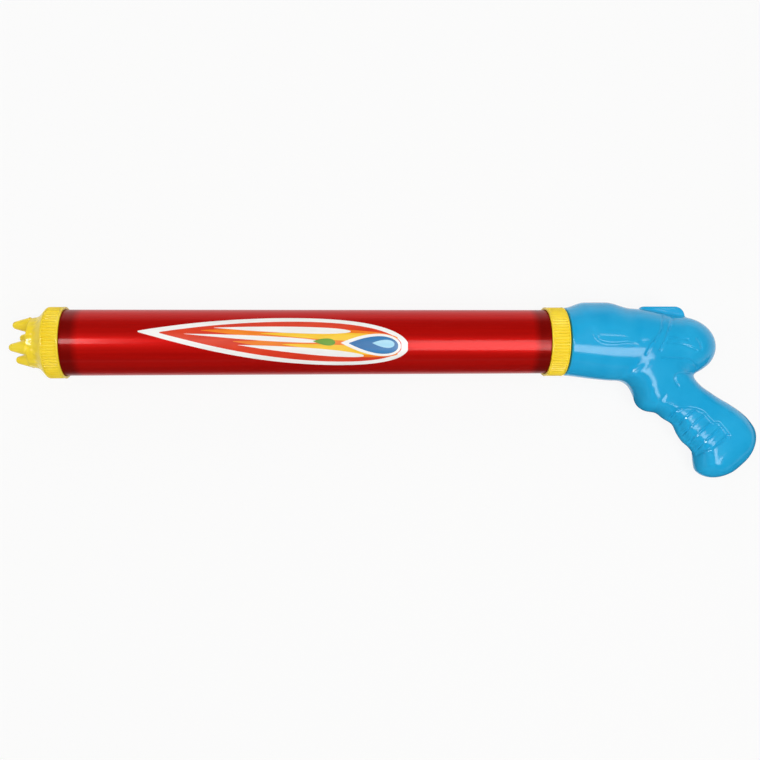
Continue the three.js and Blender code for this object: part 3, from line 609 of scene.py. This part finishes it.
def nozzle_cap():
    """The screw cap: a knurled skirt, a fluted crown and its jets with their bores."""
    crest = RING_RADIUS - RIM_PROUD
    bore = TUBE_RADIUS + SEAT
    shoulder = CAP_RIM - CAP_SKIRT
    crown = shoulder - CAP_SHOULDER
    front = crown - CROWN_LENGTH
    seat = CAP_RIM - CAP_OVERLAP - GASKET_ROOM
    room = CROWN_FRONT_RADIUS - CROWN_WALL
    back = front + CROWN_WALL
    waist = (CROWN_RADIUS + CROWN_FRONT_RADIUS) / 2 - CROWN_WAIST_DROP
    knurl_rear = CAP_RIM - RIM_WIDTH
    face = [(front, 0), (front, CROWN_FRONT_RADIUS)]
    flank = [(crown - CROWN_LENGTH / 3, waist), (crown, CROWN_RADIUS)]
    skirt = [(shoulder, crest), (knurl_rear, crest)]
    stations = np.linspace(shoulder + CAP_CREST_START, knurl_rear - KNURL_MARGIN, KNURL_RINGS)
    rim = [(knurl_rear, RING_RADIUS), (CAP_RIM, RING_RADIUS), (CAP_RIM, bore), (seat, bore), (seat, room)]
    # The skirt's rear corner is left out, because the knurl's own rings follow there.
    profile = softened(face + flank + skirt, CAP_ROUNDING, CAP_ROUND_STEPS)[: -CAP_ROUND_STEPS - 1]
    profile += [Vector((x, crest)) for x in stations]
    profile += [Vector((knurl_rear, crest))] + softened(rim)[2 : -EDGE_STEPS - 1]
    profile += [Vector((seat, room)), Vector((back, room)), Vector((back, 0))]
    cap = turned(profile, CAP_RIBS * RIB_STEPS)
    cap = ribbed(cap, shoulder + CAP_RIBS_START, knurl_rear, crest - RIM_PROUD, CAP_RIBS, KNURL_DEPTH)
    flutes_end = crown + FLUTE_MARGIN
    cap = ribbed(cap, front + FLUTE_START, flutes_end, room + FLUTE_MARGIN, CROWN_FLUTES, FLUTE_DEPTH)
    before = front - 2 * JET_REACH
    bores = []
    for i in range(JET_COUNT):
        angle = JET_PHASE + 2 * math.pi * i / JET_COUNT
        place = Matrix.Translation((0, JET_CIRCLE * math.cos(angle), JET_CIRCLE * math.sin(angle)))
        jet = jet_cone(front)
        bore_tool = turned([(before, 0), (before, JET_BORE), (crown, JET_BORE), (crown, 0)], JET_BORE_SIDES)
        bmesh.ops.transform(jet, matrix=place, verts=jet.verts)
        bmesh.ops.transform(bore_tool, matrix=place, verts=bore_tool.verts)
        cap = combined(cap, jet, "UNION")
        bores.append(bore_tool)
    return combined(cap, joined(*bores), "DIFFERENCE")


# Sticker: a white teardrop of film with flowing stripes and a few drops printed on it
STICKER_BLUNT = -125
STICKER_LENGTH = 205
STICKER_HALF_HEIGHT = 19
STICKER_TURN = math.radians(98)
STICKER_DROP = -4
STICKER_SLANT = 12
FILM = 0.3
FILM_LIFT = 0.1
FILM_STEPS_ALONG = 48
FILM_STEPS_ACROSS = 36
INK = 0.03
# A teardrop's outline is cut off just short of its two end points, which keeps its faces from closing up.
DROP_START = 0.06
DROP_END = 0.995
# One over the greatest value of root * (1 - root squared), so that a teardrop has its half height
DROP_PEAK = 3 * math.sqrt(3) / 2
# Each print: colour, layer, distance from the blunt end, offset across, length, half height, slant across
PRINTS = [
    (1, 1, 5, 0, 184, 15.5, 0),
    (2, 2, 8, 5.5, 150, 5.4, -2),
    (2, 3, 8, -5.5, 126, 5.4, 2),
    (3, 4, 9, 5.5, 104, 3, -2),
    (3, 5, 9, -5.5, 88, 3, 2),
    (0, 6, 44, 9, 104, 2.6, -3),
    (0, 6, 34, -9, 96, 2.6, 3),
    (0, 7, 66, 0, 104, 1.8, 0),
    (0, 8, 6, 0, 46, 8.4, 0),
    (4, 9, 8, 0, 38, 6.6, 0),
    (5, 10, 11, 1.2, 17, 3, 0),
    (6, 9, 56, 0, 17, 2.6, 0),
]


def film_drop(blunt, across, length, half_height, slant, layer, colour):
    """A teardrop of film that follows the tube, blunt towards the handle."""
    bm = bmesh.new()
    bmesh.ops.create_grid(bm, x_segments=FILM_STEPS_ALONG, y_segments=FILM_STEPS_ACROSS, size=1)
    radius = TUBE_RADIUS + FILM_LIFT + layer * INK
    for vert in bm.verts:
        root = DROP_START + (DROP_END - DROP_START) * (vert.co.x + 1) / 2
        share = root * root
        reach = half_height * DROP_PEAK * root * (1 - share)
        x = blunt - length * share
        rise = STICKER_DROP + STICKER_SLANT * (STICKER_BLUNT - x) / STICKER_LENGTH
        angle = STICKER_TURN - (rise + across + slant * share + reach * vert.co.y) / TUBE_RADIUS
        vert.co = (x, radius * math.cos(angle), radius * math.sin(angle))
    bmesh.ops.recalc_face_normals(bm, faces=bm.faces)
    if sum(face.normal.z for face in bm.faces) < 0:
        bmesh.ops.reverse_faces(bm, faces=bm.faces)
    bmesh.ops.solidify(bm, geom=bm.faces, thickness=-FILM)
    for face in bm.faces:
        face.material_index = colour
    return bm


def barrel_sticker():
    """The white film with its prints, each a layer of its own."""
    base = film_drop(STICKER_BLUNT, 0, STICKER_LENGTH, STICKER_HALF_HEIGHT, 0, 0, 0)
    prints = [
        film_drop(STICKER_BLUNT - start, across, length, half_height, slant, layer, colour)
        for colour, layer, start, across, length, half_height, slant in PRINTS
    ]
    return joined(base, *prints)


# Pistol handle


def hood(x, angle):
    """How far the raised hood over the front of the body stands out."""
    from_top = min(angle % (2 * math.pi), -angle % (2 * math.pi))
    rise = smoothstep(0, HOOD_RISE, x)
    fall = 1 - smoothstep(HOOD_LENGTH - HOOD_FALL, HOOD_LENGTH, x)
    return float(HOOD_HEIGHT * rise * fall * (1 - smoothstep(HOOD_TOP, HOOD_BOTTOM, from_top)))


def no_hood(x, angle):
    """The grip has no hood."""
    return 0


def pressed(out):
    """The width of a flat-sided section for a point of the unit circle."""
    wide = GRIP_FLARE * abs(out)
    if wide < MERGE:
        return 0
    return math.copysign((1 + wide**-GRIP_PRESS) ** (-1 / GRIP_PRESS), out)


def section(bm, x, low, high, half_width, flat, grow):
    """A loop round the handle between a low and a high edge, from a circle; returns its edges."""
    verts = bmesh.ops.create_circle(bm, radius=1, segments=HANDLE_SIDES)["verts"]
    for vert in verts:
        up, out = vert.co.x, vert.co.y
        more = grow(x, math.atan2(out, up))
        height = ((high - low) / 2 + more) * up
        width = (half_width + more / 2) * (pressed(out) if flat else out)
        vert.co = (x, (low + high) / 2 + height, width)
    return list({edge for vert in verts for edge in vert.link_edges})


def domed_form(start, straight, dome, edges, flat, grow):
    """A closed form that runs straight from a start and ends in a dome."""
    bm = bmesh.new()
    count = round((straight - start) / HANDLE_STEP)
    loops = [section(bm, x, *edges(x), flat, grow) for x in np.linspace(start, straight, count)]
    low, high, half = edges(straight)
    mid = (low + high) / 2
    for angle in np.linspace(0, math.pi / 2, DOME_STEPS + 1)[1:-1]:
        x = straight + dome * math.sin(angle)
        shrink = math.cos(angle)
        bottom = mid + (low - mid) * shrink
        top = mid + (high - mid) * shrink
        loops.append(section(bm, x, bottom, top, half * shrink, flat, grow))
    for near, far in zip(loops, loops[1:]):
        bmesh.ops.bridge_loops(bm, edges=near + far)
    for end in (loops[0], loops[-1]):
        bmesh.ops.edgeloop_fill(bm, edges=end)
    bmesh.ops.recalc_face_normals(bm, faces=bm.faces)
    return bm


def fin():
    """The sighting fin on top of the body, with a rounded rear corner."""
    bm = bmesh.new()
    nose = [(FIN_START, FIN_TOP - FIN_NOSE_DROP), (FIN_START + FIN_NOSE_RUN, FIN_TOP)]
    corner = [
        (FIN_END - FIN_CORNER * (1 - math.sin(angle)), FIN_TOP - FIN_CORNER * (1 - math.cos(angle)))
        for angle in np.linspace(0, math.pi / 2, FIN_CORNER_STEPS)
    ]
    outline = [(FIN_START, 0), *nose, *corner, (FIN_END, 0)]
    verts = [bm.verts.new((x, y, -FIN_THICKNESS / 2)) for x, y in outline]
    side = bm.faces.new(verts)
    far = bmesh.ops.extrude_face_region(bm, geom=[side])["geom"]
    moved = [v for v in far if isinstance(v, bmesh.types.BMVert)]
    bmesh.ops.translate(bm, vec=(0, 0, FIN_THICKNESS), verts=moved)
    bmesh.ops.recalc_face_normals(bm, faces=bm.faces)
    return bm


def handle_form():
    """Body, grip and fin as one smooth skin."""
    body_edges = curve_through([
        (0, -BODY_RADIUS, BODY_RADIUS, BODY_RADIUS),
        (BODY_BELLY_START, -BODY_BELLY, BODY_RADIUS, BODY_WAIST),
        (BODY_BELLY_END, -BODY_BELLY, BODY_RADIUS - BODY_TOP_DROP, BODY_WAIST),
        (BODY_STRAIGHT, -BODY_REAR_BOTTOM, BODY_REAR_TOP, BODY_REAR_HALF_WIDTH),
    ])
    body = domed_form(0, BODY_STRAIGHT, BODY_REAR_DOME, body_edges, False, hood)
    grip_edges = curve_through(GRIP_FORM)
    grip_start = GRIP_FORM[0][0]
    grip_straight = GRIP_FORM[-1][0]
    grip = domed_form(grip_start, grip_straight, GRIP_HEEL_DOME, grip_edges, True, no_hood)
    place = Matrix.Translation(GRIP_ROOT) @ Matrix.Rotation(GRIP_SLANT, 4, "Z")
    bmesh.ops.transform(grip, matrix=place, verts=grip.verts)
    whole = combined(combined(body, grip, "UNION"), fin(), "UNION")
    return modified(whole, "REMESH", mode="VOXEL", voxel_size=VOXEL)


def smoothed(bm, verts, rounds):
    """Evens out some vertices in a number of rounds."""
    for _ in range(rounds):
        bmesh.ops.smooth_vert(
            bm, verts=verts, factor=0.5, use_axis_x=True, use_axis_y=True, use_axis_z=True
        )


def seen(points):
    """Where the camera sees points of the skin, in the plane between the handle's halves."""
    spread = EYE.z / (EYE.z - np.abs(points[:, 2]))
    eye = np.array((EYE.x, EYE.y))
    return eye + (points[:, :2] - eye) * spread[:, None]


def distance_to(flat, line):
    """Distance from points of the side view to a line."""
    best = np.full(len(flat), np.inf)
    for start, end in zip(line, line[1:]):
        step = end - start
        along = np.clip((flat - start) @ step / (step @ step), 0, 1)
        best = np.minimum(best, np.linalg.norm(flat - start - along[:, None] * step, axis=1))
    return best


# Grooves in the side view: (depth, half width, points that the groove runs through)
GROOVES = [
    (1, 0.8, [(83, 21), (81.6, 10), (77, 3), (72, -3.7), (68.6, -10.5)]),
    (1, 0.8, [(91, 20), (85.8, 4.2), (79.8, -7.2)]),
    (0.65, 0.8, [(88, 3.2), (95, 3), (104, 1.5)]),
    (0.7, 0.8, [(87, -1), (98, -2), (111, -7)]),
    (0.65, 0.8, [(111, 3), (114, -1), (115, -6)]),
    (0.75, 0.8, [(82, -13), (98, -14), (106, -16), (111, -21)]),
    (0.7, 0.8, [(107, -25), (96, -26), (92.5, -29), (92.5, -32), (95, -36)]),
    (0.5, 1.2, [(84, -44), (82, -47), (79.5, -52), (76, -57.5)]),
]
# The hood's lower lip: its line in the side view, and where its step, its swelling and its ends fade
HOOD_LIP = [
    (21, 12), (24, 7), (26.4, 3.7), (30.4, 0.4), (36.2, -1.3),
    (45.5, -1.4), (52.4, -0.8), (61.7, -2), (68.6, -4.9),
]
LIP_STATIONS = 60
LIP_HEIGHT = 1.1
LIP_STEP = (-0.5, 0.9)
LIP_SWELLING = (4, 20)
LIP_FRONT = (24, 30)
LIP_REAR = (52, 66)
# The finger panel, measured down the grip and across it: its rear edge as (down, across) points, its start,
# its slanted heel line, and how far its edges fade in and out of the line
RIDGE_FIRST = 49
RIDGE_PITCH = 8.5
RIDGE_WIDTH = 0.8
RIDGE_DEPTH = 1.2
CHANNEL_DEPTH = 0.5
PANEL_DEPTH = 0.7
PANEL_REAR = [(38, -8), (44, 0.5), (50, 5.5), (55, 8), (67, 8.5), (70, 12.3), (84, 12.3), (87, 8)]
PANEL_START = (37.5, 39.5)
PANEL_HEEL = 84.2
PANEL_HEEL_SLOPE = 0.27
PANEL_INNER = 1
PANEL_OUTER = 0.3
# Rounds of smoothing for the whole skin, and for its creases in the side view: x from, x to, y from, y to,
# rounds. They are the crook between body and grip, the notch behind it and the shoulder before it.
SKIN_ROUNDS = 14
CREASES = [
    (40, 118, -48, -14, 60),
    (98, 118, -38, -20, 60),
    (44, 86, -36, -6, 110),
]
RELIEF_ROUNDS = 2
# Relief is full where the sideways part of the skin's normal is over the second value, and fades to none
# at the first, near the outline.
RELIEF_FACING = (0.1, 0.45)


def hood_relief(flat):
    """The hood's lower lip: a crisp step with a swelling above it."""
    x, y = flat[:, 0], flat[:, 1]
    lip = curve_through(HOOD_LIP)
    stations = np.linspace(HOOD_LIP[0][0], HOOD_LIP[-1][0], LIP_STATIONS)
    heights = np.array([lip(station)[0] for station in stations])
    above = y - np.interp(x, stations, heights)
    step = smoothstep(*LIP_STEP, above) * (1 - smoothstep(*LIP_SWELLING, above))
    return LIP_HEIGHT * step * smoothstep(*LIP_FRONT, x) * (1 - smoothstep(*LIP_REAR, x))


def finger_relief(flat):
    """Shallow finger channels across the grip with fine grooves between, in a sunk, crisp panel."""
    axis = Vector((math.cos(GRIP_SLANT), math.sin(GRIP_SLANT)))
    local = flat - np.array(GRIP_ROOT[:2])
    down = local @ np.array(axis)
    across = local @ np.array((-axis.y, axis.x))
    place = (down - RIDGE_FIRST) / RIDGE_PITCH
    channel = np.abs(np.sin(math.pi * place))
    groove = np.exp(-(((place - np.round(place)) * RIDGE_PITCH / RIDGE_WIDTH) ** 2))
    rear = np.interp(down, *zip(*PANEL_REAR))
    heel = PANEL_HEEL + PANEL_HEEL_SLOPE * across
    panel = smoothstep(*PANEL_START, down)
    panel *= 1 - smoothstep(heel - PANEL_INNER, heel + PANEL_OUTER, down)
    panel *= 1 - smoothstep(rear - PANEL_INNER, rear + PANEL_OUTER, across)
    return -(CHANNEL_DEPTH * channel + RIDGE_DEPTH * groove + PANEL_DEPTH) * panel


def handle_skin():
    """The whole handle before it is parted, with its relief."""
    bm = handle_form()
    smoothed(bm, bm.verts, SKIN_ROUNDS)
    for left, right, low, high, rounds in CREASES:
        crease = [v for v in bm.verts if left < v.co.x < right and low < v.co.y < high]
        smoothed(bm, crease, rounds)
    bm.normal_update()
    points = np.array([v.co for v in bm.verts])
    flat = seen(points)
    relief = hood_relief(flat) + finger_relief(flat)
    for depth, half_width, places in GROOVES:
        away = distance_to(flat, line_through(*places))
        relief -= depth * np.exp(-((away / half_width) ** 2))
    facing = smoothstep(*RELIEF_FACING, np.abs(np.array([v.normal.z for v in bm.verts])))
    for vert, out in zip(bm.verts, relief * facing):
        vert.co += vert.normal * out
    smoothed(bm, bm.verts, RELIEF_ROUNDS)
    return bm


def handle_half(skin, side):
    """The half of the handle on one side of the parting plane, with its sockets."""
    bm = skin.copy()
    plane = (0, 0, side * PARTING_GAP / 2)
    geometry = bm.verts[:] + bm.edges[:] + bm.faces[:]
    bmesh.ops.bisect_plane(bm, geom=geometry, plane_co=plane, plane_no=(0, 0, -side), clear_outer=True)
    rim = [edge for edge in bm.edges if edge.is_boundary]
    bmesh.ops.edgeloop_fill(bm, edges=rim)
    bmesh.ops.recalc_face_normals(bm, faces=bm.faces)
    bm = combined(bm, rod_socket(), "DIFFERENCE")
    return combined(bm, socket_tools(), "DIFFERENCE")


def rod_socket():
    """A cutter for the rod's socket in the handle's front."""
    radius = ROD_RADIUS + SEAT
    return turned([(-BEYOND, 0), (-BEYOND, radius), (ROD_SOCKET, radius), (ROD_SOCKET, 0)], ROD_SIDES)


def screw_places():
    """The screws' places in the handle's side view."""
    to_handle = ON_HANDLE.inverted()
    return [(to_handle @ (middle(name) * MM)).xy for name in SCREW_NAMES]


def socket_tools():
    """Cutters for the pin's hole, and for each screw's hole and counterbore."""
    pin = [(-PIN_REACH, 0), (-PIN_REACH, PIN_HOLE), (PIN_REACH, PIN_HOLE), (PIN_REACH, 0)]
    head = [(-BEYOND, 0), (-BEYOND, COUNTERBORE), (-SCREW_SEAT, COUNTERBORE)]
    shank = [(-SCREW_SEAT, SCREW_HOLE), (SCREW_REACH, SCREW_HOLE), (SCREW_REACH, 0)]
    holes = [(pin, (PIN_STATION, 0))]
    holes += [([*head, *shank], place) for place in screw_places()]
    tools = []
    for profile, (x, y) in holes:
        tool = turned(profile, HOLE_SIDES)
        upright = Matrix.Translation((x, y, 0)) @ Matrix.Rotation(-math.pi / 2, 4, "Y")
        bmesh.ops.transform(tool, matrix=upright, verts=tool.verts)
        tools.append(tool)
    return joined(*tools)


# Putting it together

yellow = yellow_pp()
blue = blue_abs()
white = white_pp()
steel = zinc_steel()
rubber = seal_rubber()
inks = [
    film_ink("white_vinyl_film", "#f6f5f1", "#efeeea"),
    film_ink("red_screen_ink", "#e2401c", "#d63010"),
    film_ink("orange_screen_ink", "#f78a1e", "#f07a14"),
    film_ink("yellow_screen_ink", "#fbcf3a", "#f6c228"),
    film_ink("blue_screen_ink", "#2a78b4", "#1f6ca8"),
    film_ink("pale_blue_screen_ink", "#a9dcf0", "#98d2ea"),
    film_ink("green_screen_ink", "#74a83a", "#689c30"),
]

tube = open_tube(TUBE_FRONT, TUBE_REAR, TUBE_RADIUS, TUBE_WALL, TUBE_SIDES)
rod = open_tube(ROD_FRONT, ROD_REAR, ROD_RADIUS, ROD_WALL, ROD_SIDES)
piece("tube", tube, ON_BARREL, "barrel", ["barrel_tube"], [red_tube()])
piece("collar", rear_collar(), ON_BARREL, "barrel", ["rear_collar"], [yellow])
piece("cap", nozzle_cap(), ON_BARREL, "barrel", ["nozzle_cap"], [yellow])
piece("sticker", barrel_sticker(), ON_BARREL, "barrel", ["barrel_sticker"], inks)
piece("rod", rod, ON_BARREL, "handle", ["plunger_rod"], [white])
skin = handle_skin()
for side, name in ((1, "left"), (-1, "right")):
    half = handle_half(skin, side)
    piece(f"handle_{name}", half, ON_HANDLE, "handle", [f"handle_shell_{name}"], [blue])
skin.free()

# CAD nodes that stay as they are, with their finishes
FINISHES = {
    "nozzle_gasket": rubber,
    "piston_ring_front": rubber,
    "piston_ring_rear": rubber,
    "piston_head": white,
    "rod_plug": white,
    "piston_washer": steel,
    "piston_screw": steel,
    "rod_pin": steel,
    **{name: steel for name in SCREW_NAMES},
}
for name, finish in FINISHES.items():
    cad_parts[name].material_slots[0].material = finish


# Studio, in metres
FLOOR_SIZE = 6
FLOOR_DROP = 0.0005
FLOOR_GLOW = 0.9
# The dark card's ends along the barrel, and its near and far edges as (y, z)
CARD_LEFT = -0.6
CARD_RIGHT = 0.3
CARD_NEAR = (-0.045, 0.001)
CARD_FAR = (-0.6, 0.15)
# The walls fade to the ceiling at this height of a direction one unit long.
WALL_TOP = 0.35
WALL_STRENGTH = 0.9
CEILING_STRENGTH = 0.06
# The left lamp is a row of panels that fades to its right, as its streak on the tube does.
STEP_RADIANCES = (18, 6.5, 2.2, 0.8)
STEP_WIDTH = 0.05
STEP_FIRST = -0.71
CLIP_NEAR = 0.01
CLIP_FAR = 50


def stage_sheet(name, bm, material):
    """A bmesh as a sheet of the studio, which isn't part of the squirter."""
    mesh = bpy.data.meshes.new(name)
    bm.to_mesh(mesh)
    bm.free()
    mesh.materials.append(material)
    made = bpy.data.objects.new(name, mesh)
    bpy.context.scene.collection.objects.link(made)
    return made


def studio_floor():
    """A pale floor that the camera sees as white, with the object's shadow kept."""
    paint, tree, shader = new_material("matt_white_floor", Roughness=0.9)
    shader.inputs["Base Color"].default_value = linear("#d2d2cf")
    rays = node(tree, "ShaderNodeLightPath").outputs
    seen_by = node(
        tree, "ShaderNodeMath", {0: rays["Is Camera Ray"], 1: rays["Is Glossy Ray"]}, operation="MAXIMUM"
    )
    seen_by = node(
        tree, "ShaderNodeMath", {0: seen_by.outputs[0], 1: rays["Is Transmission Ray"]}, operation="MAXIMUM"
    )
    share = node(tree, "ShaderNodeMath", {0: seen_by.outputs[0], 1: FLOOR_GLOW}, operation="MULTIPLY")
    glow = node(tree, "ShaderNodeEmission", {"Color": linear("#ffffff"), "Strength": 1.0})
    mixed = node(
        tree, "ShaderNodeMixShader",
        {0: share.outputs[0], 1: shader.outputs["BSDF"], 2: glow.outputs["Emission"]},
    )
    tree.links.new(mixed.outputs["Shader"], tree.nodes["Material Output"].inputs["Surface"])
    bm = bmesh.new()
    bmesh.ops.create_grid(bm, x_segments=1, y_segments=1, size=FLOOR_SIZE)
    stage_sheet("floor", bm, paint).location.z = -FLOOR_DROP


def dark_card():
    """A dark card beside the tube on the grip's side, which leans up from the floor and which only
    reflections show."""
    paint, _, shader = new_material("matt_dark_card", Roughness=0.9)
    shader.inputs["Base Color"].default_value = linear("#303030")
    near = [(CARD_LEFT, *CARD_NEAR), (CARD_RIGHT, *CARD_NEAR)]
    far = [(CARD_RIGHT, *CARD_FAR), (CARD_LEFT, *CARD_FAR)]
    bm = bmesh.new()
    bm.faces.new([bm.verts.new(corner) for corner in near + far])
    made = stage_sheet("dark_card", bm, paint)
    made.visible_camera = False
    made.visible_diffuse = False
    made.visible_shadow = False


def softbox(name, place, width, height, radiance, reflected=True, lights=True):
    """A rectangular light at a place in the handle's frame, in metres, that faces the handle's front.
    With reflected off it leaves no highlight, and with lights off it leaves only its highlight."""
    lamp = bpy.data.lights.new(name, "AREA")
    lamp.shape = "RECTANGLE"
    lamp.size = width
    lamp.size_y = height
    lamp.energy = radiance * math.pi * width * height
    made = bpy.data.objects.new(name, lamp)
    back = Vector(place).normalized()
    right = (Vector((1, 0, 0)) - back * back.x).normalized()
    turn = Matrix((right, back.cross(right), back)).transposed().to_4x4()
    on_axis = Matrix.Translation((0, 0, AXIS * MM)) @ HANDLE_TURN
    made.matrix_world = on_axis @ Matrix.Translation(place) @ turn
    made.visible_glossy = reflected
    made.visible_diffuse = lights
    bpy.context.scene.collection.objects.link(made)


def studio_world():
    """Pale walls all round that darken upwards to a dim ceiling."""
    world = bpy.data.worlds.new("studio")
    world.use_nodes = True
    tree = world.node_tree
    direction = node(tree, "ShaderNodeTexCoord").outputs["Generated"]
    height = node(tree, "ShaderNodeSeparateXYZ", {"Vector": direction}).outputs["Z"]
    walls = node(
        tree, "ShaderNodeMapRange",
        {"Value": height, "From Max": WALL_TOP, "To Min": WALL_STRENGTH, "To Max": CEILING_STRENGTH},
    )
    back = tree.nodes["Background"]
    back.inputs["Color"].default_value = linear("#ffffff")
    tree.links.new(walls.outputs["Result"], back.inputs["Strength"])
    bpy.context.scene.world = world


def photo_camera():
    """The camera that the photograph was taken with."""
    lens = bpy.data.cameras.new("photo")
    lens.sensor_width = SENSOR_WIDTH
    lens.lens = PHOTO_FOCUS * SENSOR_WIDTH
    lens.clip_start = CLIP_NEAR
    lens.clip_end = CLIP_FAR
    right = Vector((math.cos(PHOTO_YAW), 0, math.sin(PHOTO_YAW)))
    up = Vector((0, 1, 0))
    right_tilted = right * math.cos(PHOTO_TILT) - up * math.sin(PHOTO_TILT)
    up_tilted = right * math.sin(PHOTO_TILT) + up * math.cos(PHOTO_TILT)
    axes = Matrix((right_tilted, up_tilted, PHOTO_BACK)).transposed()
    made = bpy.data.objects.new("photo", lens)
    made.matrix_world = Matrix.Translation(ON_HANDLE @ EYE) @ (HANDLE_TURN.to_3x3() @ axes).to_4x4()
    bpy.context.scene.collection.objects.link(made)
    bpy.context.scene.camera = made


studio_floor()
dark_card()
studio_world()
for i, radiance in enumerate(STEP_RADIANCES):
    softbox(f"left_step_{i}", (STEP_FIRST + STEP_WIDTH * i, 0.05, 1.25), STEP_WIDTH, 0.36, radiance)
softbox("end_box", (-1.5, 0.08, 1.3), 0.5, 0.4, 60, lights=False)
softbox("tube_box", (0.175, -0.32, 1.25), 0.35, 0.8, 6)
softbox("handle_box", (0.515, -0.52, 1.25), 0.33, 0.55, 6.5)
softbox("small_box", (0.6, 0.26, 1.25), 0.1, 0.1, 8)
softbox("front_fill", (-0.2, 0.2, 1.4), 1.6, 1, 1.4, reflected=False)
softbox("left_fill", (-1.4, 0, 0.6), 0.8, 0.8, 1.4, reflected=False)
softbox("upper_fill", (-0.1, 1.1, 0.5), 1.4, 0.7, 1.6, reflected=False)
softbox("lower_fill", (-0.1, -1.1, 0.5), 1.4, 0.7, 0.5, reflected=False)
photo_camera()
bpy.context.scene.view_settings.view_transform = "Standard"
